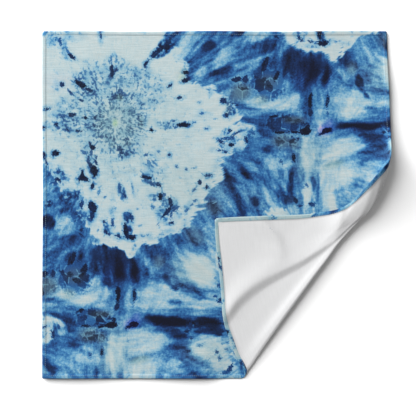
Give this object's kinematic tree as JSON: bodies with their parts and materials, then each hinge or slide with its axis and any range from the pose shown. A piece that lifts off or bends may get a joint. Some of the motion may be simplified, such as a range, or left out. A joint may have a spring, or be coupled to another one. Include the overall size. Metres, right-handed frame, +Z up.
{
  "type": "bandana",
  "caption": "Square hemmed cotton bandana lying flat, printed side up, with one corner turned back over the top in a soft roll.",
  "frame": {"origin": "middle of the bounding box seen from above, on the table the cloth lies on (z = 0)", "axes": "+Z up from the table, out of the printed side. +X towards the side edge whose lower corner is turned back, the right of the picture. +Y towards the flat edge furthest from the turned-back corner, the top of the picture"},
  "size_m": [0.5538, 0.5524, 0.0372],
  "materials": {
    "cotton": "plain-weave cotton with an indigo tie-dye print on its front, white behind"
  },
  "bodies": {
    "root": {"cloth": "cotton"}
  },
  "joints": []
}
